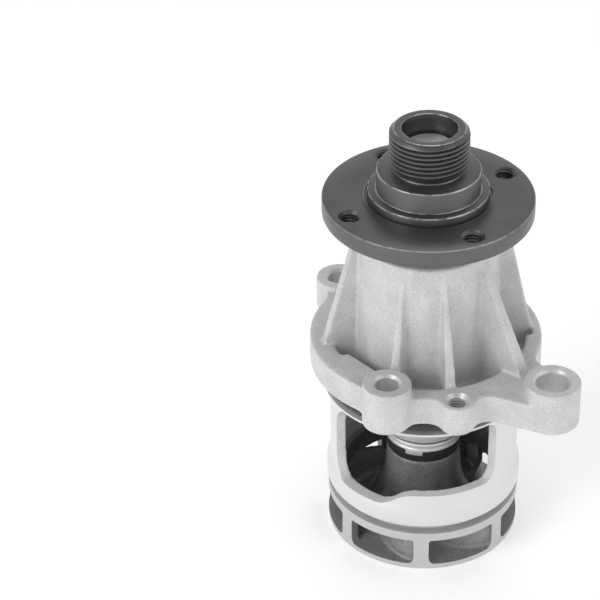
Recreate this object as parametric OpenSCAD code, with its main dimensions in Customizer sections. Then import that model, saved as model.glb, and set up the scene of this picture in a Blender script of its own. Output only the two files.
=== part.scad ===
// Automotive water pump with an inlet cage, a closed impeller and a threaded drive hub.
// Origin: shaft axis at the mounting face. +Z runs up the shaft to the drive hub.

/* [Mounting plate] */
// Radius of the round plate
plate_r = 36; // [35.5:0.1:38]
// Thickness of the plate
plate_t = 9.4; // [8:0.1:12]
// Height of the stud bosses above the mounting face
boss_h = 14; // [12:0.5:18]
// Height of the rear left boss above the mounting face
low_boss_h = 10.9; // [10:0.1:14]
// Radius of the three small stud bosses
boss_r = 7.4; // [7:0.1:8]
// Radius of the holes in the small bosses
stud_hole_r = 3.6; // [3:0.1:4]
// Radius of the large ear boss
ear_boss_r = 8.5; // [8:0.1:10]
// Radius of the ear hole
ear_hole_r = 5.1; // [4:0.1:6]
// Distance of the small boss holes from the shaft axis
stud_circle_r = 36.5; // [36:0.1:38]
// Distance of the jacking holes from the shaft axis
jack_circle_r = 37.6; // [37:0.1:39]

/* [Snout] */
// Height of the snout above the mounting face
snout_h = 45.4; // [44.8:0.1:45.6]
// Radius of the snout at its top
snout_top_r = 21.3; // [20:0.1:23]
// Radius of the snout at its foot
snout_foot_r = 22.5; // [21:0.1:24]

/* [Spigot and cage] */
// Radius of the sealing spigot
spigot_r = 32; // [31.5:0.1:33]
// Outer radius of the cage wall
cage_r = 29.8; // [29.5:0.1:31]
// Inner radius of the cage wall
cage_bore_r = 26.6; // [26:0.1:27]
// Bore at the foot of the cage, round the impeller's neck
foot_bore_r = 28; // [27.8:0.1:28.2]
// Length of the cage below the mounting face
cage_h = 44.1; // [43:0.1:44.4]

/* [Drive hub] */
// Radius of the drive flange
flange_r = 32; // [31:0.5:36]
// Thickness of the drive flange
flange_t = 5.5; // [5:0.1:7]
// Pitch circle diameter of the pulley bolts
pulley_pcd = 53; // [50:1:56]
// Angle of the first pulley bolt
first_bolt_angle = 30; // [0:1:89]
// Radius of the tapped pulley holes
pulley_hole_r = 3; // [2.5:0.1:3.5]
// Major radius of the nose thread
thread_r = 12; // [11.5:0.1:12.5]

/* [Impeller] */
// Outer radius of the impeller
impeller_r = 30.5; // [30:0.1:31.5]
// Height of the impeller rim
impeller_h = 14.4; // [13:0.1:14.6]
// Number of vanes
vane_count = 7; // [5:1:9]
// Sweep of a vane from rim to hub, in degrees
vane_sweep = 62; // [30:1:80]

/* [Bearing] */
// Radius of the bearing shaft
shaft_r = 7.95; // [7.9:0.01:8]
// Radius of the bearing outer ring
bearing_r = 15; // [14.9:0.1:15.2]

/* [Hidden] */

round_fn = 96;
blend_fn = 48;
over = 1;

// Bosses: [angle, distance from the axis, height]
stud_places = [[-107.8, stud_circle_r, boss_h], [135.5, 39.2, low_boss_h], [60, stud_circle_r, boss_h]];
ear_place = [-39.8, 49.6];
// Jacking holes: [angle, distance from the axis]
jack_places = [[-74.6, jack_circle_r], [105.4, jack_circle_r]];
jack_boss_r = 5.2;
jack_hole_r = 3;
web_place = [-45.5, 25.7];
web_r = 14;
outline_fillet = 5;
mouth_chamfer = 0.7;
pocket_floor = 3;
pocket_front_r = 31;
pocket_side_r = 29.2;
pocket_notch_r = 33;
// Straight stretch of the pocket's edge: [distance from the axis, angle]
pocket_left_edge = [[26.9, -151], [26.3, -124], [27.5, -106], [27.5, -100]];
weep_r = 2.2;
weep_angle = 84;

// Ribs of the snout: [angle, radius at the top, radius at the foot, thickness at the top, at the foot]
snout_ribs = [[-167, 23.8, 32.4, 3, 4.4], [-109.5, 21, 28, 1.4, 3.4], [-75, 21, 30.8, 1, 3.8],
              [-37, 21.8, 38, 2.6, 5], [9, 25.4, 33, 3, 4.4], [60, 22.2, 29, 3, 4.4],
              [105, 21, 30.8, 1, 3.8], [138, 22.2, 29, 3, 4.4]];
rib_top = 43;
snout_chamfer = 0.8;

// Spigot, groove and cage levels, measured down from the mounting face
land_t = 1.5;
groove_t = 5.8;
groove_r = 27.4;
lip_t = 0.8;
lip_bottom = land_t + groove_t + lip_t;
ceiling = 9.3;
ceiling_t = 7.3;
foot_ring_r = 30.9;
foot_ring_h = 5.4;
foot_chamfer = 2.8;
foot_bore_h = 2.5;
// Blocks that make the inlet window: [left angle, right angle, top level, bottom level]
window_blocks = [[-156.2, -41, 11.8, 32.8], [-144, -50, 9.6, 12.5], [-156.2, -107, 31.5, 37.7]];
relief_inner_r = 17.5;
relief_outer_r = 24;
seal_boss_r = 16.5;
seal_boss_bottom = 13;

// Bearing
bearing_bottom = 5;
bearing_top = 44;
race_bore_r = 12.2;
seal_lip_gap = 0.1;
bearing_seal_t = 1.2;
roller_r = 2.2;
roller_l = 11;
roller_z = 33;
roller_count = 12;
roller_circle_r = 10.2;
ball_r = 2.9;
ball_z = 14;
ball_count = 8;
ball_circle_r = 10.4;
run_gap = 0.06;
cage_gap = 0.12;

// Drive hub levels above the mounting face
hub_bottom = 46.2;
neck_r = 14.5;
flange_bottom = 53.2;
flange_top = flange_bottom + flange_t;
step_top = flange_top + 2.5;
step_r = 18.4;
foot_groove_r = 19.3;
foot_groove_t = 0.5;
collar_top = step_top + 6.7;
collar_r = 15.7;
undercut_top = collar_top + 2.6;
undercut_r = 10.4;
nose_top = 81.6;
nose_chamfer = 1.3;
nose_bore_r = 8.3;
shaft_top = 75.6;
edge_break = 0.6;

// Impeller levels above its flat bottom
impeller_bottom = -61.6;
disc_t = 1.9;
ring_t = 2.9;
neck_outer_r = 27.5;
neck_inner_r = 25.4;
neck_h = 4.6;
hub_top_r = 11.8;
hub_h = 28;
hub_foot_r = 24;
rib_half_angle = 4.5;
rib_depth = 3;
rim_lap = 0.3;
vane_t = 2.8;
vane_root_r = 12.5;
vane_steps = 12;
shaft_bottom = -60;

// Mechanical seal
seal_bore_r = 13.5;
cup_wall = 0.6;
cup_flange_r = 15.4;
cup_bottom = 25;
cup_nose_r = 13;
carbon_top = 22;
carbon_bottom = 26.15;
mating_top = 26.2;
boot_top = 27.4;
boot_bottom = impeller_bottom + hub_h;
boot_r = 11.6;
mating_r = 10.6;
mating_t = 4;
band_r = 12.2;
band_bottom = 29;
tab_drop = 1.6;
tab_angle = 26;
tab_count = 3;
first_tab_angle = -104;
spring_wire_r = 0.55;
spring_r = 10.6;
spring_turns = 4;
spring_top = 11;
spring_bottom = 20.6;
spring_steps = 20;
bellows_r = 9.5;
shaft_gap = 0.35;

function polar(r, a) = [r * cos(a), r * sin(a)];
function arc(r, a1, a2, n) = [for (i = [0:n]) polar(r, a1 + (a2 - a1) * i / n)];

// Flat sector of a ring between two radii and two angles
module sector(r1, r2, a1, a2, n = 24) {
    polygon(concat(arc(r2, a1, a2, n), arc(r1, a2, a1, n)));
}

// Plain ring standing on z = 0
module tube(r_out, r_in, h) {
    difference() {
        cylinder(r = r_out, h = h, $fn = round_fn);
        translate([0, 0, -over]) cylinder(r = r_in, h = h + 2 * over, $fn = round_fn);
    }
}

module at(place) {
    rotate([0, 0, place[0]]) translate([place[1], 0, 0]) children();
}

module plate_outline() {
    offset(r = -outline_fillet, $fn = blend_fn) offset(delta = outline_fillet) {
        circle(r = plate_r, $fn = round_fn);
        for (p = stud_places) at(p) circle(r = boss_r - 0.1, $fn = blend_fn);
        for (p = jack_places) at(p) circle(r = jack_boss_r, $fn = blend_fn);
        hull() {
            at(ear_place) circle(r = ear_boss_r - 0.1, $fn = blend_fn);
            at(web_place) circle(r = web_r, $fn = blend_fn);
        }
    }
}

// Recess between the snout and the plate's rim
module plate_pocket() {
    inner_r = snout_foot_r - 2;
    sector(inner_r, pocket_front_r, -101, 0);
    sector(inner_r, pocket_notch_r, -1, 10);
    sector(inner_r, pocket_side_r, 9, 209, 48);
    polygon(concat([polar(inner_r, -152)], [for (p = pocket_left_edge) polar(p[0], p[1])],
                   [polar(inner_r, -100)]));
}

// Rib that narrows and sinks into the snout towards its top
module rib(r_top, r_foot, t_top, t_foot) {
    root_r = bearing_r - 1;
    foot_z = pocket_floor - 1;
    low_r = r_foot + (r_foot - r_top) * (plate_t - foot_z) / (rib_top - plate_t);
    translate([root_r, 0, foot_z])
        linear_extrude(rib_top - foot_z, scale = [(r_top - root_r) / (low_r - root_r), t_top / t_foot])
            translate([0, -t_foot / 2]) square([low_r - root_r, t_foot]);
}

module boss_hole(r, h) {
    translate([0, 0, -over]) cylinder(r = r, h = h + 2 * over, $fn = round_fn);
    translate([0, 0, h - mouth_chamfer])
        cylinder(r1 = r, r2 = r + mouth_chamfer + 0.2, h = mouth_chamfer + 0.2, $fn = round_fn);
}

// Profile of the spigot, its groove and the cage wall
module cage_profile() {
    polygon([[0, pocket_floor], [spigot_r - 1, pocket_floor], [spigot_r, 0], [spigot_r, -land_t],
             [groove_r, -land_t], [groove_r, -land_t - groove_t], [spigot_r, -land_t - groove_t],
             [spigot_r, -lip_bottom], [cage_r, -lip_bottom - 1.2],
             [cage_r, -cage_h + foot_ring_h + foot_chamfer], [foot_ring_r, -cage_h + foot_ring_h],
             [foot_ring_r, -cage_h], [foot_bore_r, -cage_h], [foot_bore_r, -cage_h + foot_bore_h],
             [cage_bore_r, -cage_h + foot_bore_h], [cage_bore_r, -ceiling], [0, -ceiling]]);
}

module housing() {
    color("silver") difference() {
        union() {
            difference() {
                linear_extrude(plate_t) plate_outline();
                translate([0, 0, pocket_floor]) linear_extrude(plate_t) plate_pocket();
            }
            rotate_extrude($fn = round_fn) cage_profile();
            translate([0, 0, -seal_boss_bottom])
                cylinder(r = seal_boss_r, h = seal_boss_bottom, $fn = round_fn);
            cylinder(r1 = snout_foot_r, r2 = snout_top_r, h = snout_h - snout_chamfer, $fn = round_fn);
            translate([0, 0, snout_h - snout_chamfer])
                cylinder(r1 = snout_top_r, r2 = snout_top_r - snout_chamfer, h = snout_chamfer,
                         $fn = round_fn);
            for (r = snout_ribs) rotate([0, 0, r[0]]) rib(r[1], r[2], r[3], r[4]);
            for (p = stud_places) at(p) cylinder(r = boss_r, h = p[2], $fn = round_fn);
            at(ear_place) cylinder(r = ear_boss_r, h = boss_h, $fn = round_fn);
        }
        for (p = stud_places) at(p) boss_hole(stud_hole_r, p[2]);
        at(ear_place) boss_hole(ear_hole_r, boss_h);
        for (p = jack_places) at(p) boss_hole(jack_hole_r, plate_t);
        // Bearing bore, drain space and seal bore
        translate([0, 0, bearing_bottom]) cylinder(r = bearing_r, h = snout_h, $fn = round_fn);
        translate([0, 0, -seal_boss_bottom - over])
            cylinder(r = seal_bore_r, h = seal_boss_bottom + bearing_bottom + 2 * over, $fn = round_fn);
        // Weep passage from the drain space out through the plate's rim
        rotate([0, 0, weep_angle]) translate([0, 0, plate_t / 2 - 1.6]) rotate([0, 90, 0])
            cylinder(r = weep_r, h = plate_r + boss_r, $fn = blend_fn);
        // Relief in the ceiling of the cage
        translate([0, 0, -ceiling - over])
            tube(relief_outer_r, relief_inner_r, ceiling_t + over);
        for (w = window_blocks) translate([0, 0, -w[3]]) linear_extrude(w[3] - w[2])
            sector(cage_bore_r - 2, spigot_r + 2, w[0], w[1]);
    }
}

module main_o_ring() {
    ring_r = 2.25;
    color("black") translate([0, 0, -land_t - groove_t / 2]) rotate_extrude($fn = round_fn)
        translate([groove_r + 0.05 + ring_r, 0]) circle(r = ring_r, $fn = blend_fn);
}

module bearing_outer_ring() {
    color("silver") difference() {
        translate([0, 0, bearing_bottom]) tube(bearing_r, race_bore_r, bearing_top - bearing_bottom);
        // Roller track
        translate([0, 0, roller_z - roller_l / 2 - 0.5])
            cylinder(r = roller_circle_r + roller_r + run_gap, h = roller_l + 1, $fn = round_fn);
        // Ball groove
        translate([0, 0, ball_z]) rotate_extrude($fn = round_fn)
            translate([ball_circle_r, 0]) circle(r = ball_r + run_gap, $fn = blend_fn);
    }
}

module bearing_seal(z) {
    translate([0, 0, z]) tube(race_bore_r, shaft_r + seal_lip_gap, bearing_seal_t);
}

module front_bearing_seal() {
    color("dimgray") bearing_seal(bearing_top - bearing_seal_t);
}

module rear_bearing_seal() {
    color("dimgray") bearing_seal(bearing_bottom);
}

module front_rollers() {
    color("lightgray") for (i = [0:roller_count - 1])
        rotate([0, 0, i * 360 / roller_count])
            translate([roller_circle_r, 0, roller_z - roller_l / 2])
                cylinder(r = roller_r, h = roller_l, $fn = blend_fn);
}

module roller_cage() {
    cage_in = roller_circle_r - 1.1;
    cage_out = roller_circle_r + 0.9;
    margin = 1.8;
    color("tan") difference() {
        translate([0, 0, roller_z - roller_l / 2 - margin]) tube(cage_out, cage_in, roller_l + 2 * margin);
        for (i = [0:roller_count - 1]) rotate([0, 0, i * 360 / roller_count])
            translate([roller_circle_r, 0, roller_z - roller_l / 2 - cage_gap])
                cylinder(r = roller_r + cage_gap, h = roller_l + 2 * cage_gap, $fn = blend_fn);
    }
}

module rear_balls() {
    color("lightgray") for (i = [0:ball_count - 1])
        rotate([0, 0, i * 360 / ball_count]) translate([ball_circle_r, 0, ball_z])
            sphere(r = ball_r, $fn = blend_fn);
}

module ball_cage() {
    cage_in = ball_circle_r - 0.9;
    cage_out = ball_circle_r + 0.8;
    half = ball_r + 1.2;
    color("tan") difference() {
        translate([0, 0, ball_z - half]) tube(cage_out, cage_in, 2 * half);
        for (i = [0:ball_count - 1]) rotate([0, 0, i * 360 / ball_count])
            translate([ball_circle_r, 0, ball_z]) sphere(r = ball_r + cage_gap, $fn = blend_fn);
    }
}

module bearing_shaft() {
    end_chamfer = 0.8;
    color("gainsboro") difference() {
        rotate_extrude($fn = round_fn)
            polygon([[0, shaft_bottom], [shaft_r - end_chamfer, shaft_bottom],
                     [shaft_r, shaft_bottom + end_chamfer], [shaft_r, shaft_top - end_chamfer],
                     [shaft_r - end_chamfer, shaft_top], [0, shaft_top]]);
        translate([0, 0, ball_z]) rotate_extrude($fn = round_fn)
            translate([ball_circle_r, 0]) circle(r = ball_r + run_gap, $fn = blend_fn);
    }
}

module drive_hub() {
    color("#2b2b2d") difference() {
        rotate_extrude($fn = round_fn)
            polygon([[0, hub_bottom], [neck_r, hub_bottom], [neck_r, flange_bottom],
                     [flange_r - edge_break, flange_bottom], [flange_r, flange_bottom + edge_break],
                     [flange_r, flange_top - edge_break], [flange_r - edge_break, flange_top],
                     [foot_groove_r, flange_top], [foot_groove_r, flange_top - foot_groove_t],
                     [step_r, flange_top - foot_groove_t], [step_r, step_top - edge_break],
                     [step_r - edge_break, step_top], [collar_r, step_top],
                     [collar_r, collar_top - edge_break], [collar_r - edge_break, collar_top],
                     [undercut_r, collar_top], [undercut_r, undercut_top - nose_chamfer],
                     [thread_r, undercut_top], [thread_r, nose_top - nose_chamfer],
                     [thread_r - nose_chamfer, nose_top], [0, nose_top]]);
        translate([0, 0, hub_bottom - over])
            cylinder(r = shaft_r, h = nose_top - hub_bottom + 2 * over, $fn = round_fn);
        translate([0, 0, shaft_top - 0.2]) cylinder(r = nose_bore_r, h = nose_top, $fn = round_fn);
        for (i = [0:3]) rotate([0, 0, first_bolt_angle + 90 * i])
            translate([pulley_pcd / 2, 0, flange_bottom]) boss_hole(pulley_hole_r, flange_t);
    }
}

// Plan of one vane, from the hub to its rib at the rim
module vane_plan() {
    r_step = (impeller_r - 1 - vane_root_r) / vane_steps;
    radii = [for (i = [0:vane_steps]) impeller_r - 1 - i * r_step];
    spread = [for (r = radii) vane_sweep * pow((impeller_r - 1 - r) / (impeller_r - 1 - vane_root_r), 0.8)];
    polygon(concat(
        [for (i = [0:vane_steps]) polar(radii[i], -spread[i] + vane_t / radii[i] * 28)],
        [for (i = [vane_steps:-1:0]) polar(radii[i], -spread[i] - vane_t / radii[i] * 28)]));
}

// Rim wall with an outlet slot between each pair of ribs
module slotted_rim() {
    difference() {
        translate([0, 0, disc_t / 2])
            tube(impeller_r, impeller_r - rib_depth, impeller_h - (disc_t + ring_t) / 2);
        for (i = [0:vane_count - 1]) rotate([0, 0, -90 + i * 360 / vane_count])
            translate([0, 0, disc_t - rim_lap]) linear_extrude(impeller_h - ring_t - disc_t + 2 * rim_lap)
                sector(impeller_r - rib_depth - 2, impeller_r + 2,
                       rib_half_angle, 360 / vane_count - rib_half_angle, 12);
    }
}

module impeller() {
    color("#a8a8a8") translate([0, 0, impeller_bottom]) difference() {
        union() {
            rotate_extrude($fn = round_fn)
                polygon([[0, 0], [impeller_r - edge_break, 0], [impeller_r, edge_break],
                         [impeller_r, disc_t], [hub_foot_r, disc_t + 0.8], [17, 7], [13.8, 12.5],
                         [12.2, 18], [hub_top_r, 25], [hub_top_r - edge_break, hub_h], [0, hub_h]]);
            rotate_extrude($fn = round_fn)
                polygon([[neck_inner_r, impeller_h - ring_t], [impeller_r, impeller_h - ring_t],
                         [impeller_r, impeller_h - edge_break], [impeller_r - edge_break, impeller_h],
                         [neck_outer_r, impeller_h], [neck_outer_r, impeller_h + neck_h],
                         [neck_inner_r, impeller_h + neck_h]]);
            slotted_rim();
            for (i = [0:vane_count - 1]) rotate([0, 0, -90 + i * 360 / vane_count])
                translate([0, 0, disc_t / 2]) linear_extrude(impeller_h - ring_t / 2 - disc_t / 2)
                    vane_plan();
        }
        translate([0, 0, -over]) cylinder(r = shaft_r, h = hub_h + 2 * over, $fn = round_fn);
    }
}

module slinger() {
    slinger_r = 11.5;
    slinger_t = 1;
    hub_r = 9.2;
    color("dimgray") translate([0, 0, 1.2]) {
        difference() {
            union() {
                cylinder(r = slinger_r, h = slinger_t, $fn = round_fn);
                translate([0, 0, slinger_t]) cylinder(r = hub_r, h = slinger_t, $fn = round_fn);
            }
            translate([0, 0, -over]) cylinder(r = shaft_r, h = 4, $fn = round_fn);
        }
    }
}

// Stainless body of the mechanical seal: press collar, flange and drawn nose
module seal_cup() {
    color("gainsboro") rotate_extrude($fn = round_fn)
        polygon([[seal_bore_r, -4], [seal_bore_r, -seal_boss_bottom], [cup_flange_r, -seal_boss_bottom],
                 [cup_flange_r, -seal_boss_bottom - cup_wall],
                 [cup_nose_r, -seal_boss_bottom - cup_wall], [cup_nose_r, -cup_bottom],
                 [cup_nose_r - cup_wall, -cup_bottom], [cup_nose_r - cup_wall, -seal_boss_bottom],
                 [seal_bore_r - cup_wall, -4]]);
}

function spring_point(t) = let (a = 360 * spring_turns * t)
    [spring_r * cos(a), spring_r * sin(a), -spring_bottom + (spring_bottom - spring_top) * t];

// Coil spring swept as rings of eight points
module seal_spring() {
    rings = spring_turns * spring_steps;
    sides = 8;
    points = [for (i = [0:rings]) let (t = i / rings, c = spring_point(t), a = 360 * spring_turns * t)
        for (k = [0:sides - 1]) let (b = 360 * k / sides)
            c + spring_wire_r * [cos(b) * cos(a), cos(b) * sin(a), sin(b)]];
    walls = [for (i = [0:rings - 1]) for (k = [0:sides - 1])
        [i * sides + k, i * sides + (k + 1) % sides, (i + 1) * sides + (k + 1) % sides, (i + 1) * sides + k]];
    color("gainsboro") polyhedron(points, concat(walls, [[for (k = [sides - 1:-1:0]) k]],
        [[for (k = [0:sides - 1]) rings * sides + k]]));
}

module seal_bellows() {
    color("black") translate([0, 0, -carbon_top]) tube(bellows_r, shaft_r + shaft_gap, carbon_top - 5);
}

module seal_carbon_face() {
    carbon_bore_r = shaft_r + shaft_gap;
    color("#3a3a3c") rotate_extrude($fn = round_fn)
        polygon([[carbon_bore_r, -carbon_top], [bellows_r, -carbon_top], [bellows_r, -carbon_top - 4],
                 [9.2, -carbon_bottom], [carbon_bore_r, -carbon_bottom]]);
}

module seal_mating_ring() {
    color("ivory") translate([0, 0, -mating_top - mating_t]) tube(mating_r, shaft_r, mating_t);
}

module seal_seat_boot() {
    color("black") difference() {
        translate([0, 0, boot_bottom]) tube(boot_r, shaft_r, -boot_bottom - boot_top);
        translate([0, 0, -mating_top - mating_t]) cylinder(r = mating_r, h = mating_t + over, $fn = round_fn);
    }
}

// Thin rim round the rotating seat with crimped tabs
module seal_band() {
    gap_angle = 360 / tab_count - tab_angle;
    color("gainsboro") difference() {
        translate([0, 0, -band_bottom - tab_drop])
            tube(band_r, boot_r, band_bottom + tab_drop - mating_top);
        for (i = [0:tab_count - 1]) rotate([0, 0, first_tab_angle + tab_angle / 2 + i * 360 / tab_count])
            translate([0, 0, -band_bottom - tab_drop - over]) linear_extrude(tab_drop + over)
                sector(boot_r - 2, band_r + 2, 0, gap_angle, 12);
    }
}

housing();
main_o_ring();
bearing_outer_ring();
front_bearing_seal();
rear_bearing_seal();
front_rollers();
roller_cage();
rear_balls();
ball_cage();
bearing_shaft();
drive_hub();
impeller();
slinger();
seal_cup();
seal_spring();
seal_bellows();
seal_carbon_face();
seal_mating_ring();
seal_seat_boot();
seal_band();
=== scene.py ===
"""Looks of an automotive water pump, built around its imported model.

Lengths are millimetres and angles are degrees until a piece is placed, which scales it to metres. The
origin is the shaft axis at the mounting face, and +Z runs up the shaft to the drive hub.
"""

import logging
import math
from dataclasses import dataclass, field
from enum import Enum

import bmesh
import bpy
from mathutils import Matrix, Vector


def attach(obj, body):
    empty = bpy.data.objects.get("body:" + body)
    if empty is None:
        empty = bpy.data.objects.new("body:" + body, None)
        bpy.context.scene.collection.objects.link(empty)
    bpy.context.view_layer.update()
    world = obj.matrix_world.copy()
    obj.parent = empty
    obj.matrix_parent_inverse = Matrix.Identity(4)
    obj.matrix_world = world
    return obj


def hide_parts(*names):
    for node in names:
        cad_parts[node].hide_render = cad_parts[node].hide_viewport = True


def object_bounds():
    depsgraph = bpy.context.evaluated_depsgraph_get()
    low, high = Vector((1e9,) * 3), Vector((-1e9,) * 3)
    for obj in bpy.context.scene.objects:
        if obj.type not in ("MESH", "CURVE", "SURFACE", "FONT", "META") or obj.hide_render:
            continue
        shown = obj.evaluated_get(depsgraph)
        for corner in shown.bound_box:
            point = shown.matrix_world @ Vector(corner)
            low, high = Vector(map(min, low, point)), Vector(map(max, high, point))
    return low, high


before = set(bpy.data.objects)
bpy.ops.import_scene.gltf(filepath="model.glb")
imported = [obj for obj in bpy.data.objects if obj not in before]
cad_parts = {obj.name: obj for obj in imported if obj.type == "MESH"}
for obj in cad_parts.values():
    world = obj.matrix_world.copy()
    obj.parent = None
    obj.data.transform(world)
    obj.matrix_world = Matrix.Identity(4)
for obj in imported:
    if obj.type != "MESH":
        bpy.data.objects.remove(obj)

LOG = logging.getLogger("water_pump")
CAD_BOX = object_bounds()
MM = 0.001
FINE_TURN = 180
COARSE_TURN = 96
SHARP_ANGLE = math.radians(32)
REACH = 60.0
ROUGH_TURN = 24
THREAD_DEPTH = 0.45
BLIND = 0.3
CREST = 0.1
METRIC_PITCH = 1.0
Z_AXIS = Vector((0, 0, 1))


class Cut(Enum):
    """How a tool shape meets the stock."""

    REMOVE = "DIFFERENCE"
    KEEP_INSIDE = "INTERSECT"


class Body(Enum):
    """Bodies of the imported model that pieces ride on."""

    HOUSING = "housing"
    ROTOR = "rotor"


# ---------------------------------------------------------------- shapes


def polar(radius: float, angle: float, z: float = 0.0) -> Vector:
    """Returns the point at a radius and an angle about the shaft axis."""
    turn = math.radians(angle)
    return Vector((radius * math.cos(turn), radius * math.sin(turn), z))


def rounded_face(corners: list, place) -> bmesh.types.BMesh:
    """Draws one flat face and rounds its corners.

    Args:
        corners: (a, b) or (a, b, rounding) in the outline's order.
        place: function from (a, b) to a point.

    Returns:
        A mesh of that face.
    """
    bm = bmesh.new()
    verts = [bm.verts.new(place(c[0], c[1])) for c in corners]
    bm.faces.new(verts)
    for size in sorted({c[2] for c in corners if len(c) > 2}):
        round_verts = [v for v, c in zip(verts, corners) if len(c) > 2 and c[2] == size]
        bmesh.ops.bevel(bm, geom=round_verts, offset=size, offset_type="OFFSET", affect="VERTICES",
                        segments=2 if size < 1 else 5, profile=0.5, material=-1)
    return bm


def turned(corners: list, steps: int = FINE_TURN) -> bmesh.types.BMesh:
    """Turns a closed outline about the shaft axis.

    Args:
        corners: (radius, z) or (radius, z, rounding) in the outline's order.
        steps: flats round the turn.

    Returns:
        A closed mesh.
    """
    bm = rounded_face(corners, lambda r, z: Vector((r, 0, z)))
    bmesh.ops.delete(bm, geom=list(bm.faces), context="FACES_ONLY")
    on_axis = [e for e in bm.edges if all(abs(v.co.x) < 1e-6 for v in e.verts)]
    bmesh.ops.delete(bm, geom=on_axis, context="EDGES")
    bmesh.ops.spin(bm, geom=bm.verts[:] + bm.edges[:], cent=(0, 0, 0), axis=Z_AXIS, dvec=(0, 0, 0),
                   angle=math.tau, space=Matrix.Identity(4), steps=steps, use_merge=True)
    return close_up(bm)


def close_up(bm: bmesh.types.BMesh) -> bmesh.types.BMesh:
    """Merges doubles and points the faces outwards.

    Args:
        bm: the mesh to close.

    Returns:
        The same mesh.
    """
    bmesh.ops.remove_doubles(bm, verts=bm.verts, dist=1e-4)
    bmesh.ops.recalc_face_normals(bm, faces=bm.faces)
    return bm


def wrapped(corners: list, inside: float, outside: float) -> bmesh.types.BMesh:
    """Wraps a drawn block round the shaft axis, as a window's cutter is.

    Args:
        corners: (angle, z) or (angle, z, rounding) in the outline's order.
        inside: radius of the block's inner face.
        outside: radius of the block's outer face.

    Returns:
        A closed mesh.
    """
    arc = math.radians(1) * outside
    bm = rounded_face(corners, lambda a, z: Vector((a * arc, 0, z)))
    left = min(v.co.x for v in bm.verts)
    right = max(v.co.x for v in bm.verts)
    columns = max(2, round((right - left) / (arc * 2)))
    for i in range(1, columns):
        place = Vector((left + (right - left) * i / columns, 0, 0))
        bmesh.ops.bisect_plane(bm, geom=bm.verts[:] + bm.edges[:] + bm.faces[:], dist=1e-5,
                               plane_co=place, plane_no=(1, 0, 0))
    walls = bmesh.ops.extrude_face_region(bm, geom=bm.faces[:], use_keep_orig=True)["geom"]
    lifted = [v for v in walls if isinstance(v, bmesh.types.BMVert)]
    bmesh.ops.translate(bm, verts=lifted, vec=(0, outside - inside, 0))
    for v in bm.verts:
        v.co = polar(inside + v.co.y, v.co.x / arc, v.co.z)
    bmesh.ops.triangulate(bm, faces=bm.faces)
    return close_up(bm)


def helix(root: float, crest: float, pitch: float, low: float, high: float,
          steps: int = 48) -> bmesh.types.BMesh:
    """Sweeps the V of a thread up a helix.

    Args:
        root: radius of the V's open side.
        crest: radius of the V's point.
        pitch: rise of one turn.
        low: z of the lower end.
        high: z of the upper end.
        steps: flats in one turn.

    Returns:
        A closed mesh.
    """
    bm = bmesh.new()
    half = pitch * 0.46
    verts = [bm.verts.new((root, 0, low - half)), bm.verts.new((crest, 0, low - pitch * 0.06)),
             bm.verts.new((crest, 0, low + pitch * 0.06)), bm.verts.new((root, 0, low + half))]
    face = bm.faces.new(verts)
    turns = (high - low) / pitch
    count = round(turns * steps)
    bmesh.ops.spin(bm, geom=[face], cent=(0, 0, 0), axis=Z_AXIS, dvec=(0, 0, (high - low) / count),
                   angle=math.tau * turns, space=Matrix.Identity(4), steps=count, use_merge=False)
    return close_up(bm)


def moved(bm: bmesh.types.BMesh, vec: Vector, turn: float = 0.0) -> bmesh.types.BMesh:
    """Moves a shape, then turns it about the shaft axis.

    Args:
        bm: the mesh to move.
        vec: the move.
        turn: the turn after it.

    Returns:
        The same mesh.
    """
    bmesh.ops.translate(bm, verts=bm.verts, vec=vec)
    bmesh.ops.rotate(bm, verts=bm.verts, cent=(0, 0, 0), matrix=Matrix.Rotation(math.radians(turn), 3, "Z"))
    return bm


def stock(bm: bmesh.types.BMesh, name: str, finish: bpy.types.Material) -> bpy.types.Object:
    """Makes an object of a shape, still in millimetres.

    Args:
        bm: the shape, which is used up.
        name: name of the object.
        finish: its material.

    Returns:
        The object.
    """
    mesh = bpy.data.meshes.new(name)
    bm.to_mesh(mesh)
    bm.free()
    mesh.materials.append(finish)
    piece = bpy.data.objects.new(name, mesh)
    bpy.context.scene.collection.objects.link(piece)
    return piece


def settle(piece: bpy.types.Object) -> None:
    """Applies a piece's modifiers to its mesh.

    Args:
        piece: the piece, which is left without modifiers.
    """
    evaluated = piece.evaluated_get(bpy.context.evaluated_depsgraph_get())
    mesh = bpy.data.meshes.new_from_object(evaluated)
    piece.modifiers.clear()
    piece.data = mesh


def cut(piece: bpy.types.Object, shape: bmesh.types.BMesh, finish: bpy.types.Material,
        how: Cut = Cut.REMOVE) -> None:
    """Cuts a piece with a tool shape, which leaves its finish on the faces that it cuts.

    Args:
        piece: the stock.
        shape: the tool, which is used up.
        finish: material of the cut faces.
        how: what is kept.
    """
    tool = stock(shape, "tool", finish)
    step = piece.modifiers.new("cut", "BOOLEAN")
    step.object = tool
    step.operation = how.value
    step.solver = "MANIFOLD"
    step.material_mode = "TRANSFER"
    settle(piece)
    bpy.data.objects.remove(tool)


def cast(piece: bpy.types.Object, grain: float, passes: int, share: float = 1.0) -> None:
    """Casts a piece: joins its shells into one skin with soft fillets.

    Args:
        piece: one or more closed shells.
        grain: edge of a voxel.
        passes: rounds of smoothing, which set the fillets.
        share: part of the triangles that is kept.
    """
    skin = piece.modifiers.new("skin", "REMESH")
    skin.mode = "VOXEL"
    skin.voxel_size = grain
    blend = piece.modifiers.new("fillets", "SMOOTH")
    blend.factor = 0.5
    blend.iterations = passes
    if share < 1:
        thin = piece.modifiers.new("thin", "DECIMATE")
        thin.ratio = share
    settle(piece)


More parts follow.
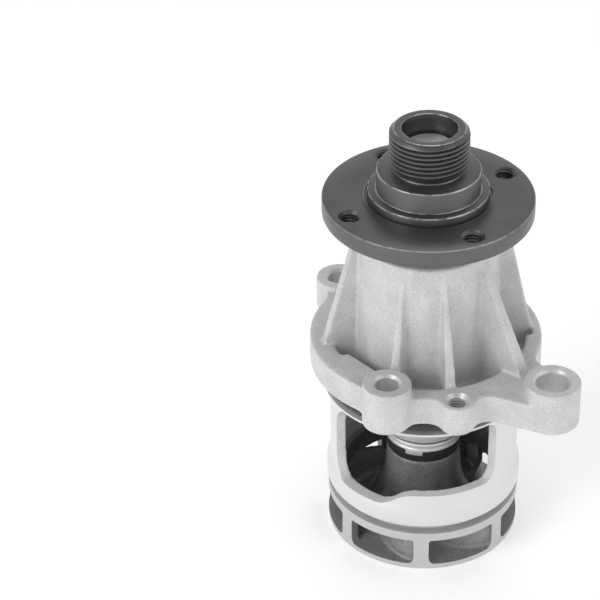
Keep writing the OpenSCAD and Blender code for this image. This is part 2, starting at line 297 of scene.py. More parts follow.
def place(piece: bpy.types.Object, body: Body, slot: str, *nodes: str) -> bpy.types.Object:
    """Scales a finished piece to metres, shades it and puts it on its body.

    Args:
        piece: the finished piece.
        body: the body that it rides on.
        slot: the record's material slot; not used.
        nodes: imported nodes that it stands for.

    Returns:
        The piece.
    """
    piece.data.transform(Matrix.Scale(MM, 4))
    piece.data.polygons.foreach_set("use_smooth", [True] * len(piece.data.polygons))
    piece.data.set_sharp_from_angle(angle=SHARP_ANGLE)
    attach(piece, body.value)
    if nodes:
        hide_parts(*nodes)
    LOG.info("%s: %d faces, on %s", piece.name, len(piece.data.polygons), body.value)
    return piece


def node_copy(node: str) -> bmesh.types.BMesh:
    """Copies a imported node's mesh and merges its loose triangles.

    Args:
        node: name of the node.

    Returns:
        The copy, in millimetres.
    """
    bm = bmesh.new()
    bm.from_mesh(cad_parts[node].data)
    bmesh.ops.scale(bm, verts=bm.verts, vec=(1 / MM, 1 / MM, 1 / MM))
    bmesh.ops.remove_doubles(bm, verts=bm.verts, dist=1e-3)
    return bm


def drill(radius: float, depth: float, mouth: float, top: float) -> bmesh.types.BMesh:
    """Makes a drill's shape, with the chamfer that it leaves at the mouth.

    Args:
        radius: radius of the hole.
        depth: depth below the mouth.
        mouth: width of the chamfer.
        top: z of the mouth.

    Returns:
        A closed mesh on the shaft axis.
    """
    over = 0.6
    return turned([(0, top - depth), (radius, top - depth), (radius, top - mouth),
                   (radius + mouth + over, top + over), (0, top + over)], COARSE_TURN)


# ---------------------------------------------------------------- finishes


class NodeBench:
    """Adds and joins the nodes of one material or group."""

    def __init__(self, tree: bpy.types.NodeTree) -> None:
        """Starts on an empty tree."""
        self.tree = tree
        tree.nodes.clear()

    def add(self, kind: str, **settings) -> bpy.types.Node:
        """Adds a node.

        Args:
            kind: the node's type, without its ShaderNode prefix.
            settings: its properties, and its inputs under their lower-case names.

        Returns:
            The node.
        """
        node = self.tree.nodes.new(kind if kind.startswith("Node") else "ShaderNode" + kind)
        inputs = {s.identifier.lower().replace(" ", "_"): s for s in node.inputs}
        inputs.update({s.name.lower().replace(" ", "_"): s for s in reversed(node.inputs) if s.enabled})
        for name, value in settings.items():
            if name not in inputs:
                setattr(node, name, value)
            elif isinstance(value, bpy.types.NodeSocket):
                self.tree.links.new(value, inputs[name])
            else:
                inputs[name].default_value = value
        return node

    def math(self, operation: str, a, b=0.0, clamp: bool = False) -> bpy.types.NodeSocket:
        """Adds a Math node.

        Args:
            operation: the node's operation.
            a: first value or socket.
            b: second value or socket.
            clamp: whether the result is kept between 0 and 1.

        Returns:
            The result's socket.
        """
        node = self.tree.nodes.new("ShaderNodeMath")
        node.operation = operation
        node.use_clamp = clamp
        for socket, value in zip(node.inputs, (a, b)):
            if isinstance(value, bpy.types.NodeSocket):
                self.tree.links.new(value, socket)
            else:
                socket.default_value = value
        return node.outputs[0]

    def reach(self, a: bpy.types.NodeSocket, b: bpy.types.NodeSocket) -> bpy.types.NodeSocket:
        """Returns the length of the line whose two square parts are a and b."""
        return self.math("SQRT", self.math("ADD", self.math("MULTIPLY", a, a), self.math("MULTIPLY", b, b)))

    def ramp(self, value: bpy.types.NodeSocket, low: float, high: float, out_low: float = 0.0,
             out_high: float = 1.0) -> bpy.types.NodeSocket:
        """Maps a value from one span to another, smoothly and clamped.

        Args:
            value: the value's socket.
            low: start of its span.
            high: end of its span.
            out_low: result at the start.
            out_high: result at the end.

        Returns:
            The result's socket.
        """
        node = self.add("MapRange", interpolation_type="SMOOTHSTEP", value=value, from_min=low,
                        from_max=high, to_min=out_low, to_max=out_high)
        return node.outputs[0]

    def mix(self, share, a, b) -> bpy.types.NodeSocket:
        """Mixes two colours.

        Args:
            share: share of the second colour, as a value or a socket.
            a: first colour or socket.
            b: second colour or socket.

        Returns:
            The mixed colour's socket.
        """
        node = self.tree.nodes.new("ShaderNodeMix")
        node.data_type = "RGBA"
        for socket, value in zip((node.inputs[0], node.inputs[6], node.inputs[7]), (share, a, b)):
            if isinstance(value, bpy.types.NodeSocket):
                self.tree.links.new(value, socket)
            else:
                socket.default_value = value
        return node.outputs[2]


def grey(value: float, warm: float = 0.0) -> tuple:
    """Returns a grey as a colour, slightly warm or cool."""
    return (value * (1 + warm), value, value * (1 - warm), 1.0)


def effect(name: str, inputs: dict, outputs: tuple) -> tuple:
    """Starts a shared effect.

    Args:
        name: name of the node group.
        inputs: default values of its inputs, by name.
        outputs: names of its outputs.

    Returns:
        The bench on its tree, its input node and its output node.
    """
    tree = bpy.data.node_groups.new(name, "ShaderNodeTree")
    bench = NodeBench(tree)
    for socket, value in inputs.items():
        made = tree.interface.new_socket(socket, in_out="INPUT", socket_type="NodeSocketFloat")
        made.default_value = value
    for socket in outputs:
        tree.interface.new_socket(socket, in_out="OUTPUT", socket_type="NodeSocketFloat")
    return bench, bench.add("NodeGroupInput"), bench.add("NodeGroupOutput")


def blasted_grain() -> bpy.types.NodeTree:
    """Makes the fine speckle of a blasted casting, with broad cloudy patches.

    Returns:
        The group, with the outputs Speckle, Cloud and Height.
    """
    bench, given, out = effect("blasted_grain", {"Scale": 2600.0, "Depth": 1.0},
                               ("Speckle", "Cloud", "Height"))
    place_of = bench.add("TexCoord").outputs["Object"]
    fine = bench.add("TexNoise", vector=place_of, scale=given.outputs["Scale"], detail=3.0, roughness=0.7)
    coarse = bench.add("TexNoise", vector=place_of, scale=140.0, detail=3.0, roughness=0.55)
    link = bench.tree.links.new
    link(bench.ramp(fine.outputs[0], 0.32, 0.68), out.inputs["Speckle"])
    link(bench.ramp(coarse.outputs[0], 0.3, 0.7), out.inputs["Cloud"])
    link(bench.math("MULTIPLY", fine.outputs[0], given.outputs["Depth"]), out.inputs["Height"])
    return bench.tree


def turning_lines() -> bpy.types.NodeTree:
    """Makes the concentric lines that a lathe tool leaves on a face or a round side.

    Returns:
        The group, with the outputs Lines and Height.
    """
    bench, given, out = effect("turning_lines", {"Pitch": 6000.0, "Depth": 1.0}, ("Lines", "Height"))
    place_of = bench.add("SeparateXYZ", vector=bench.add("TexCoord").outputs["Object"])
    x, y, z = place_of.outputs
    radius = bench.reach(x, y)
    along = bench.math("ADD", radius, bench.math("MULTIPLY", z, 1.37))
    lines = bench.add("TexNoise", noise_dimensions="1D", w=along, scale=given.outputs["Pitch"], detail=3.0,
                      roughness=0.6)
    link = bench.tree.links.new
    link(bench.ramp(lines.outputs[0], 0.3, 0.7), out.inputs["Lines"])
    link(bench.math("MULTIPLY", lines.outputs[0], given.outputs["Depth"]), out.inputs["Height"])
    return bench.tree


def bright_edge() -> bpy.types.NodeTree:
    """Makes a painted highlight: a thin bright glint line painted along the edge of a turned step, broken up
    by noise.

    Returns:
        The group, with the output Mask.
    """
    bench, given, out = effect("bright_edge", {"Radius": 0.03, "Level": 0.0, "Width": 0.0005}, ("Mask",))
    spot = bench.add("TexCoord").outputs["Object"]
    place_of = bench.add("SeparateXYZ", vector=spot)
    x, y, z = place_of.outputs
    radius = bench.reach(x, y)
    dr = bench.math("SUBTRACT", radius, given.outputs["Radius"])
    dz = bench.math("SUBTRACT", z, given.outputs["Level"])
    share = bench.math("DIVIDE", bench.reach(dr, dz), given.outputs["Width"])
    near = bench.math("SUBTRACT", 1.0, share, clamp=True)
    # Noise breaks up the painted highlight line.
    glint_breakup = bench.add("TexNoise", vector=spot, scale=420.0, detail=2.0)
    bench.tree.links.new(bench.math("MULTIPLY", near, bench.ramp(glint_breakup.outputs[0], 0.3, 0.55)),
                         out.inputs["Mask"])
    return bench.tree


@dataclass
class Effects:
    """Shared effects, built once."""

    grain: bpy.types.NodeTree = field(default_factory=blasted_grain)
    lines: bpy.types.NodeTree = field(default_factory=turning_lines)
    edge: bpy.types.NodeTree = field(default_factory=bright_edge)


@dataclass(frozen=True)
class Finish:
    """A surface finish with one colour range, one roughness range and a fine relief."""

    name: str
    dark: float
    light: float
    metallic: float
    rough_low: float
    rough_high: float
    relief: float = 0.1
    relief_scale: float = 2600.0
    warm: float = 0.0
    cloud: float = 0.3
    turned: bool = False
    # edges, edge_tone and edge_width place painted highlight lines along turned edges.
    edges: tuple = ()
    edge_tone: float = 0.6
    edge_width: float = 0.5

    def material(self, effects: Effects) -> bpy.types.Material:
        """Builds the material.

        Args:
            effects: the shared node groups.

        Returns:
            The material.
        """
        made = bpy.data.materials.new(self.name)
        made.use_nodes = True
        bench = NodeBench(made.node_tree)
        shader = bench.add("BsdfPrincipled", metallic=self.metallic)
        out = bench.add("OutputMaterial")
        link = bench.tree.links.new
        link(shader.outputs[0], out.inputs[0])
        grain = bench.add("Group", node_tree=effects.grain)
        grain.inputs["Scale"].default_value = self.relief_scale
        grain.inputs["Depth"].default_value = 1.0
        speckle = grain.outputs["Speckle"]
        height = grain.outputs["Height"]
        if self.turned:
            lines = bench.add("Group", node_tree=effects.lines)
            lines.inputs["Pitch"].default_value = self.relief_scale
            lines.inputs["Depth"].default_value = 1.0
            speckle = bench.math("ADD", bench.math("MULTIPLY", speckle, 0.25),
                                 bench.math("MULTIPLY", lines.outputs["Lines"], 0.75))
            height = lines.outputs["Height"]
        tone = bench.math("ADD", bench.math("MULTIPLY", speckle, 1 - self.cloud),
                          bench.math("MULTIPLY", grain.outputs["Cloud"], self.cloud))
        colour = bench.mix(tone, grey(self.dark, self.warm), grey(self.light, self.warm))
        rough = bench.ramp(tone, 0.0, 1.0, self.rough_low, self.rough_high)
        # Painted highlight: a lighter, smoother line along each listed edge.
        if self.edges:
            mask = self.edge_mask(bench, effects)
            colour = bench.mix(mask, colour, grey(self.edge_tone, self.warm))
            rough = bench.math("MULTIPLY", rough, bench.ramp(mask, 0.0, 1.0, 1.0, 0.6))
        link(colour, shader.inputs["Base Color"])
        link(rough, shader.inputs["Roughness"])
        bump = bench.add("Bump", height=height, strength=self.relief, distance=0.0002)
        link(bump.outputs[0], shader.inputs["Normal"])
        return made

    def edge_mask(self, bench: NodeBench, effects: Effects) -> bpy.types.NodeSocket:
        """Joins the masks of the painted highlight lines along the edges.

        Args:
            bench: the material's bench.
            effects: the shared node groups.

        Returns:
            The strongest mask's socket.
        """
        mask = None
        for radius, level in self.edges:
            ring = bench.add("Group", node_tree=effects.edge)
            ring.inputs["Radius"].default_value = radius * MM
            ring.inputs["Level"].default_value = level * MM
            ring.inputs["Width"].default_value = self.edge_width * MM
            mask = ring.outputs[0] if mask is None else bench.math("MAXIMUM", mask, ring.outputs[0])
        return mask


class Finishes:
    """The pump's finishes as materials."""

    def __init__(self, hub_glint_edges: tuple) -> None:
        """Builds every material.

        Args:
            hub_glint_edges: (radius, z) of the drive hub's edges that get a painted highlight line.
        """
        effects = Effects()
        rows = {
            "casting": Finish("cast_aluminium_blasted", 0.46, 0.7, 0.35, 0.5, 0.68, 0.35, 2300.0),
            # The cage's as-cast inside: lighter and less metallic than the casting, as painted fill light
            # that lifts the shaded interior.
            "cast_core": Finish("cast_aluminium_core", 0.56, 0.72, 0.1, 0.5, 0.7, 0.4, 1500.0),
            "bored": Finish("bored_aluminium", 0.58, 0.76, 0.6, 0.3, 0.42, 0.15, 5200.0, turned=True),
            "turned": Finish("turned_aluminium", 0.66, 0.74, 0.45, 0.32, 0.42, 0.08, 5200.0, cloud=0.15,
                             turned=True),
            # The black oxide carries painted highlight lines along the hub's turned edges.
            "black_oxide": Finish("black_oxide_steel", 0.115, 0.16, 0.9, 0.32, 0.42, 0.12, 5200.0,
                                  turned=True, edges=hub_glint_edges, edge_tone=0.55, edge_width=0.32),
            "ground": Finish("ground_steel", 0.62, 0.8, 0.6, 0.3, 0.45, 0.2, 3600.0, warm=0.01),
            "rotor_casting": Finish("impeller_casting", 0.19, 0.32, 0.4, 0.42, 0.62, 0.4, 1300.0),
            "rotor_rim": Finish("impeller_turned", 0.5, 0.58, 0.6, 0.36, 0.5, 0.1, 5200.0, turned=True),
            "rubber": Finish("moulded_rubber", 0.012, 0.022, 0.0, 0.32, 0.5, 0.1, 1800.0),
            "seat_rubber": Finish("seal_rubber", 0.015, 0.028, 0.0, 0.5, 0.7, 0.15, 1800.0),
            "stainless": Finish("drawn_stainless", 0.72, 0.84, 0.5, 0.32, 0.42, 0.03, 5200.0, turned=True),
            "bearing": Finish("bearing_steel", 0.5, 0.66, 1.0, 0.15, 0.28, 0.08, 5200.0, turned=True),
            "polymer": Finish("cage_polymer", 0.32, 0.42, 0.0, 0.4, 0.55, 0.1, 1500.0, warm=0.25),
            "carbon": Finish("carbon_face", 0.03, 0.05, 0.0, 0.35, 0.5, 0.1, 2500.0),
            "ceramic": Finish("alumina_seat", 0.75, 0.85, 0.0, 0.2, 0.3, 0.05, 2500.0, warm=0.03),
        }
        self.made = {name: row.material(effects) for name, row in rows.items()}

    def __getitem__(self, name: str) -> bpy.types.Material:
        """Returns the material of that name."""
        return self.made[name]


# ---------------------------------------------------------------- sub-assemblies


@dataclass
class Hole:
    """One bored boss of the mounting plate."""

    angle: float
    circle: float
    radius: float
    top: float
    tapped: bool = False
    chamfer: float = 0.8


@dataclass
class Housing:
    """Die-cast housing: ribbed snout, mounting plate, spigot and inlet cage."""

    snout_top: float = 45.4
    bearing_bore: float = 15.0
    seal_bore: float = 13.5
    skirt: float = 1.2
    spigot_r: float = 32.0
    groove_r: float = 27.4
    groove_top: float = -1.5
    groove_bottom: float = -7.3
    lip_bottom: float = -8.1
    lip_slope: float = 1.2
    cage_r: float = 29.8
    cage_inner_r: float = 26.6
    foot_bore_r: float = 28.0
    foot_bore_top: float = -41.6
    foot_ring_r: float = 30.9
    foot_ring_top: float = -38.7
    foot_slope: float = 2.8
    cage_bottom: float = -44.1
    ceiling: float = -9.3
    window: tuple = ((-156.2, -12.2, 6.0), (-139.0, -9.8), (-50.0, -9.8), (-41.0, -11.8, 2.6),
                     (-41.0, -32.8, 5.5), (-100.5, -32.8, 3.5), (-113.0, -37.7, 3.5), (-156.2, -37.7, 8.0))
    holes: tuple = (Hole(-107.8, 36.5, 3.6, 14.0), Hole(135.5, 39.2, 3.6, 10.9), Hole(60, 36.5, 3.6, 14.0),
                    Hole(-39.8, 49.6, 5.1, 14.0), Hole(-74.6, 37.6, 3.0, 9.4, True),
                    Hole(105.4, 37.6, 3.0, 9.4, True))
    relief: tuple = (17.5, 24.0, -2.0)
    seal_boss: tuple = (16.5, -13.0)
    bore_lap: float = 0.6
    hole_lap: float = 1.3
    bore_chamfer: float = 0.6
    grain: float = 0.45
    fillet_passes: int = 7
    kept_share: float = 0.7

    def build(self, finishes: Finishes) -> None:
        """Makes the upper casting and the cage."""
        self.upper(finishes)
        self.cage(finishes)

    def upper(self, finishes: Finishes) -> bpy.types.Object:
        """Casts the snout and the plate, then machines the mounting face and the holes.

        Args:
            finishes: the materials.

        Returns:
            The placed casting.
        """
        bm = node_copy("housing")
        for v in bm.verts:
            if abs(v.co.z) < 0.01:
                v.co.z = -self.skirt
        piece = stock(bm, "housing_casting", finishes["casting"])
        low = 1 - self.skirt
        cut(piece, turned([(0, low), (REACH, low), (REACH, REACH), (0, REACH)], ROUGH_TURN),
            finishes["casting"], Cut.KEEP_INSIDE)
        plugs = bmesh.new()
        self.add_plug(plugs, 0, 0, self.bearing_bore + self.bore_lap, low, self.snout_top)
        for hole in self.holes:
            self.add_plug(plugs, hole.angle, hole.circle, hole.radius + self.hole_lap, low, hole.top)
        self.join_shells(piece, plugs)
        cast(piece, self.grain, self.fillet_passes, self.kept_share)
        bored = finishes["bored"]
        cut(piece, turned([(0, -REACH), (REACH, -REACH), (REACH, 0), (0, 0)], ROUGH_TURN), bored)
        for hole in self.holes:
            self.bore(piece, hole, bored)
        cut(piece, drill(self.bearing_bore, self.snout_top + 2, self.bore_chamfer, self.snout_top), bored)
        return place(piece, Body.HOUSING, "cast_aluminium", "housing")

    @staticmethod
    def add_plug(bm: bmesh.types.BMesh, angle: float, circle: float, radius: float, low: float,
                 high: float) -> None:
        """Adds a plug that fills a hole before the casting.

        Args:
            bm: the mesh that the plug joins.
            angle: angle of the hole.
            circle: distance of the hole from the shaft axis.
            radius: radius of the plug.
            low: z of its lower end.
            high: z of its upper end.
        """
        made = bmesh.ops.create_cone(bm, cap_ends=True, segments=2 * ROUGH_TURN, radius1=radius,
                                     radius2=radius, depth=high - low)
        bmesh.ops.translate(bm, verts=made["verts"], vec=polar(circle, angle, (low + high) / 2))

    @staticmethod
    def join_shells(piece: bpy.types.Object, extra: bmesh.types.BMesh) -> None:
        """Adds more shells to a piece's mesh.

        Args:
            piece: the piece.
            extra: the shells, which are used up.
        """
        extra.from_mesh(piece.data)
        extra.to_mesh(piece.data)
        extra.free()

    @staticmethod
    def bore(piece: bpy.types.Object, hole: Hole, bored: bpy.types.Material) -> None:
        """Drills one boss, and taps it where it is tapped.

        Args:
            piece: the casting.
            hole: the hole's sizes.
            bored: material of the bored faces.
        """
        spot = Vector((hole.circle, 0, 0))
        depth = THREAD_DEPTH if hole.tapped else 0.0
        core = hole.radius - depth
        chamfer = hole.chamfer + depth
        cut(piece, moved(drill(core, hole.top + 2, chamfer, hole.top), spot, hole.angle), bored)
        if hole.tapped:
            thread = helix(core - BLIND, hole.radius + CREST, METRIC_PITCH, -1.5, hole.top + 1)
            cut(piece, moved(thread, spot, hole.angle), bored)

    def cage(self, finishes: Finishes) -> bpy.types.Object:
        """Casts the spigot and the cage, then turns their outside.

        Args:
            finishes: the materials.

        Returns:
            The placed cage.
        """
        rough_r = self.spigot_r + 1
        top = 2.0
        relief_in, relief_out, relief_top = self.relief
        boss_r, boss_low = self.seal_boss
        rough = turned([(self.seal_bore, top), (rough_r, top), (rough_r, self.cage_bottom - 1),
                        (self.foot_bore_r, self.cage_bottom - 1), (self.foot_bore_r, self.foot_bore_top),
                        (self.cage_inner_r, self.foot_bore_top), (self.cage_inner_r, self.ceiling, 1.5),
                        (relief_out, self.ceiling), (relief_out, relief_top), (relief_in, relief_top),
                        (relief_in, self.ceiling), (boss_r, self.ceiling), (boss_r, boss_low),
                        (self.seal_bore, boss_low)], COARSE_TURN)
        # The rough inside and the window's faces carry the core finish, lightened as painted fill light.
        piece = stock(rough, "housing_cage", finishes["cast_core"])
        window = wrapped(list(self.window), self.cage_inner_r - 3.5, rough_r + 4)
        cut(piece, window, finishes["cast_core"])
        cast(piece, self.grain, self.fillet_passes - 3)
        envelope = turned([(0, top - 0.5), (self.spigot_r, top - 0.5),
                           (self.spigot_r, self.groove_top, 0.25),
                           (self.groove_r, self.groove_top, 0.3), (self.groove_r, self.groove_bottom, 0.3),
                           (self.spigot_r, self.groove_bottom, 0.25), (self.spigot_r, self.lip_bottom, 0.25),
                           (self.cage_r, self.lip_bottom - self.lip_slope, 0.6),
                           (self.cage_r, self.foot_ring_top + self.foot_slope, 0.5),
                           (self.foot_ring_r, self.foot_ring_top, 0.5),
                           (self.foot_ring_r, self.cage_bottom, 0.5), (0, self.cage_bottom)])
        cut(piece, envelope, finishes["turned"], Cut.KEEP_INSIDE)
        return place(piece, Body.HOUSING, "cast_aluminium", "housing")


@dataclass
class DriveHub:
    """Black-oxide drive hub: flange, pilot steps, threaded nose and tapped holes."""

    bottom: float = 46.2
    neck_r: float = 14.5
    flange_r: float = 32.0
    flange_bottom: float = 53.2
    flange_top: float = 58.7
    groove_r: float = 19.3
    groove_depth: float = 0.5
    step_r: float = 18.4
    step_top: float = 61.2
    collar_r: float = 15.7
    collar_top: float = 67.9
    undercut_r: float = 10.4
    undercut_top: float = 70.5
    thread_r: float = 12.0
    thread_pitch: float = 1.5
    thread_depth: float = 0.85
    top: float = 81.6
    chamfer: float = 1.3
    bore_r: float = 8.3
    shaft_r: float = 7.95
    shaft_top: float = 75.6
    bolt_circle: float = 26.5
    bolt_r: float = 3.0
    bolt_thread: float = 0.42
    bolt_chamfer: float = 0.95
    bolt_count: int = 4
    first_bolt: float = 30.0

    def painted_glint_edges(self) -> tuple:
        """Returns (radius, z) of the edges that get a painted highlight line."""
        return ((self.flange_r - 0.3, self.flange_top - 0.3), (self.groove_r, self.flange_top),
                (self.step_r - 0.2, self.step_top - 0.2), (self.collar_r - 0.2, self.collar_top - 0.2),
                (self.collar_r + 0.1, self.step_top), (self.thread_r - self.chamfer, self.top),
                (self.bore_r, self.top))

    def build(self, finishes: Finishes) -> bpy.types.Object:
        """Turns the hub, cuts its thread and taps its holes.

        Args:
            finishes: the materials.

        Returns:
            The placed hub.
        """
        oxide = finishes["black_oxide"]
        low_chamfer = self.thread_r - self.undercut_r
        groove_floor = self.flange_top - self.groove_depth
        outline = [(self.shaft_r, self.bottom), (self.neck_r, self.bottom, 0.4),
                   (self.neck_r, self.flange_bottom, 0.8), (self.flange_r, self.flange_bottom, 0.5),
                   (self.flange_r, self.flange_top, 0.45), (self.groove_r, self.flange_top, 0.15),
                   (self.groove_r, groove_floor), (self.step_r, groove_floor),
                   (self.step_r, self.step_top, 0.4), (self.collar_r, self.step_top, 0.25),
                   (self.collar_r, self.collar_top, 0.4), (self.undercut_r, self.collar_top, 0.5),
                   (self.undercut_r, self.undercut_top - low_chamfer, 0.5),
                   (self.thread_r, self.undercut_top, 0.1), (self.thread_r, self.top - self.chamfer, 0.1),
                   (self.thread_r - self.chamfer, self.top, 0.2), (self.bore_r, self.top, 0.3),
                   (self.bore_r, self.shaft_top - 0.2), (self.shaft_r, self.shaft_top - 0.2)]
        piece = stock(turned(outline), "drive_hub_turned", oxide)
        cut(piece, helix(self.thread_r + 0.35, self.thread_r - self.thread_depth, self.thread_pitch,
                         self.undercut_top - 0.9, self.top - 0.6, FINE_TURN // 2), oxide)
        for i in range(self.bolt_count):
            turn = self.first_bolt + i * 360 / self.bolt_count
            spot = Vector((self.bolt_circle, 0, 0))
            core = self.bolt_r - self.bolt_thread
            hole = drill(core, self.flange_top - self.flange_bottom + 2, self.bolt_chamfer, self.flange_top)
            cut(piece, moved(hole, spot, turn), oxide)
            thread = helix(core - BLIND, self.bolt_r + CREST, METRIC_PITCH, self.flange_bottom - 1.4,
                           self.flange_top + 0.8)
            cut(piece, moved(thread, spot, turn), oxide)
        return place(piece, Body.ROTOR, "black_oxide", "drive_hub")


@dataclass
class Impeller:
    """Cast impeller: hub, vanes, slotted rim, front ring and eye neck, with a turned outside."""

    bottom: float = -61.6
    radius: float = 30.5
    height: float = 14.4
    disc: float = 1.9
    ring: float = 2.9
    neck_outer_r: float = 27.5
    neck_inner_r: float = 25.4
    neck_top: float = 19.0
    hub_top: float = 28.0
    hub_top_r: float = 11.8
    hub_flare: tuple = ((24, 2.7, 3), (17, 7, 3), (13.8, 12.5, 3), (12.2, 18, 1.5), (11.8, 25, 0.5))
    shaft_r: float = 7.95
    rib_depth: float = 3.0
    rib_half: float = 4.5
    vane_root_r: float = 12.5
    vane_count: int = 7
    vane_sweep: float = 62.0
    vane_t: float = 2.6
    stock_on: float = 0.8
    stock_up: float = 0.6
    grain: float = 0.4

    def build(self, finishes: Finishes) -> bpy.types.Object:
        """Casts the impeller and turns its rim.

        Args:
            finishes: the materials.

        Returns:
            The placed impeller.
        """
        metal = finishes["rotor_casting"]
        rough_r = self.radius + 1
        pitch = 360 / self.vane_count
        rim = stock(turned([(self.radius - self.rib_depth, -1), (rough_r, -1), (rough_r, self.height + 1),
                            (self.radius - self.rib_depth, self.height + 1)], COARSE_TURN),
                    "impeller_cast", metal)
        for i in range(self.vane_count):
            slot = wrapped([(self.rib_half, self.disc, 2.4), (pitch - self.rib_half, self.disc, 2.4),
                            (pitch - self.rib_half, self.height - self.ring, 0.5),
                            (self.rib_half, self.height - self.ring, 0.5)],
                           self.radius - self.rib_depth - 2, rough_r + 3)
            cut(rim, moved(slot, Vector(), -90 + i * pitch), metal)
        shells = bmesh.new()
        for part in [self.hub(), self.front_ring()] + [self.vane(-90 + i * pitch)
                                                        for i in range(self.vane_count)]:
            mesh = bpy.data.meshes.new("shell")
            part.to_mesh(mesh)
            part.free()
            shells.from_mesh(mesh)
            bpy.data.meshes.remove(mesh)
        Housing.join_shells(rim, shells)
        rim.data.transform(Matrix.Translation((0, 0, self.bottom)))
        cast(rim, self.grain, 4, 0.75)
        low = self.bottom
        envelope = turned([(self.shaft_r, low), (self.radius, low, 0.5),
                           (self.radius, low + self.height, 0.4),
                           (self.neck_outer_r, low + self.height, 0.4),
                           (self.neck_outer_r, low + self.neck_top, 0.4), (20, low + self.neck_top),
                           (self.hub_top_r + 3, low + self.hub_top), (self.shaft_r, low + self.hub_top)])
        cut(rim, envelope, finishes["rotor_rim"], Cut.KEEP_INSIDE)
        return place(rim, Body.ROTOR, "impeller_metal", "impeller")

    def hub(self) -> bmesh.types.BMesh:
        """Returns the back disc with the flared hub, above the impeller's flat bottom."""
        return turned([(0, -1), (self.radius + 1, -1), (self.radius + 1, self.disc), *self.hub_flare,
                       (self.hub_top_r, self.hub_top), (0, self.hub_top)], COARSE_TURN)

    def front_ring(self) -> bmesh.types.BMesh:
        """Returns the front ring with the eye neck."""
        return turned([(self.neck_inner_r, self.height - self.ring),
                       (self.radius + 1, self.height - self.ring),
                       (self.radius + 1, self.height + 1),
                       (self.neck_outer_r + self.stock_on, self.height + 1),
                       (self.neck_outer_r + self.stock_on, self.neck_top + self.stock_up),
                       (self.neck_inner_r, self.neck_top + self.stock_up)], COARSE_TURN)

    def vane(self, turn: float) -> bmesh.types.BMesh:
        """Sweeps one vane from its rib at the rim in to the hub.

        Args:
            turn: angle of the rib.

        Returns:
            A closed mesh.
        """
        bm = bmesh.new()
        rim_r = self.radius - 1
        steps = 14
        rows = []
        for i in range(steps + 1):
            share = i / steps
            radius = rim_r + (self.vane_root_r - rim_r) * share
            lag = turn - self.vane_sweep * share ** 0.8
            half = math.degrees(self.vane_t / 2 / radius) * (1.3 - 0.3 * share)
            rows.append([bm.verts.new(polar(radius, lag + side * half, self.disc / 2)) for side in (1, -1)])
        for near, far in zip(rows, rows[1:]):
            bm.faces.new((near[0], near[1], far[1], far[0]))
        top = bmesh.ops.extrude_face_region(bm, geom=bm.faces[:], use_keep_orig=True)["geom"]
        lifted = [v for v in top if isinstance(v, bmesh.types.BMVert)]
        bmesh.ops.translate(bm, verts=lifted, vec=(0, 0, self.height - self.ring / 2 - self.disc / 2))
        return close_up(bm)


@dataclass
class Seal:
    """Mechanical seal: stainless cup, crimped band and rubber seat boot."""

    bore_r: float = 13.5
    wall: float = 0.6
    flange_r: float = 15.4
    flange_z: float = -13.0
    cup_bottom: float = -25.0
    nose_r: float = 13.0
    band_r: float = 12.2
    boot_r: float = 11.6
    band_top: float = -26.2
    band_bottom: float = -29.0
    waist: tuple = (-28.1, -27.6)
    waist_depth: float = 0.25
    tab_drop: float = 1.6
    tab_angle: float = 26.0
    tab_count: int = 3
    first_tab: float = -104.0
    boot_top: float = -27.4
    boot_bottom: float = -33.6
    shaft_r: float = 7.95

    def build(self, finishes: Finishes) -> None:
        """Makes the cup, the band and the boot.

        Args:
            finishes: the materials.
        """
        steel = finishes["stainless"]
        step = self.flange_z - self.wall
        cup = stock(turned([(self.bore_r, -4), (self.bore_r, self.flange_z),
                            (self.flange_r, self.flange_z, 0.25), (self.flange_r, step, 0.25),
                            (self.nose_r, step, 0.3), (self.nose_r - 0.1, self.cup_bottom, 0.2),
                            (self.nose_r - self.wall, self.cup_bottom, 0.2),
                            (self.nose_r - self.wall, self.flange_z, 0.3),
                            (self.bore_r - self.wall, -4)]), "seal_cup_drawn", steel)
        place(cup, Body.HOUSING, "stainless", "seal_cup")
        low = self.band_bottom - self.tab_drop
        bead_low, bead_high = self.waist
        waist_r = self.band_r - self.waist_depth
        band = stock(turned([(self.boot_r, low), (self.band_r, low, 0.1), (self.band_r, bead_low - 0.2, 0.1),
                             (waist_r, bead_low), (waist_r, bead_high), (self.band_r, bead_high + 0.2, 0.1),
                             (self.band_r, self.band_top, 0.3),
                             (self.boot_r - 0.8, self.band_top, 0.1),
                             (self.boot_r - 0.8, self.band_top - 0.3),
                             (self.boot_r, self.band_top - 0.3)]), "seal_band_crimped", steel)
        gap = 360 / self.tab_count - self.tab_angle
        for i in range(self.tab_count):
            notch = wrapped([(0, low - 1), (0, self.band_bottom, 0.4), (gap, self.band_bottom, 0.4),
                             (gap, low - 1)], self.boot_r - 2, self.band_r + 2)
            cut(band, moved(notch, Vector(), self.first_tab + self.tab_angle / 2 + i * 360 / self.tab_count),
                steel)
        place(band, Body.ROTOR, "stainless", "seal_band")
        boot = stock(turned([(self.shaft_r, self.boot_top), (self.boot_r, self.boot_top, 0.2),
                             (self.boot_r, self.boot_bottom, 0.6), (self.shaft_r, self.boot_bottom)]),
                     "seal_seat_boot_moulded", finishes["seat_rubber"])
        place(boot, Body.ROTOR, "seal_rubber", "seal_seat_boot")


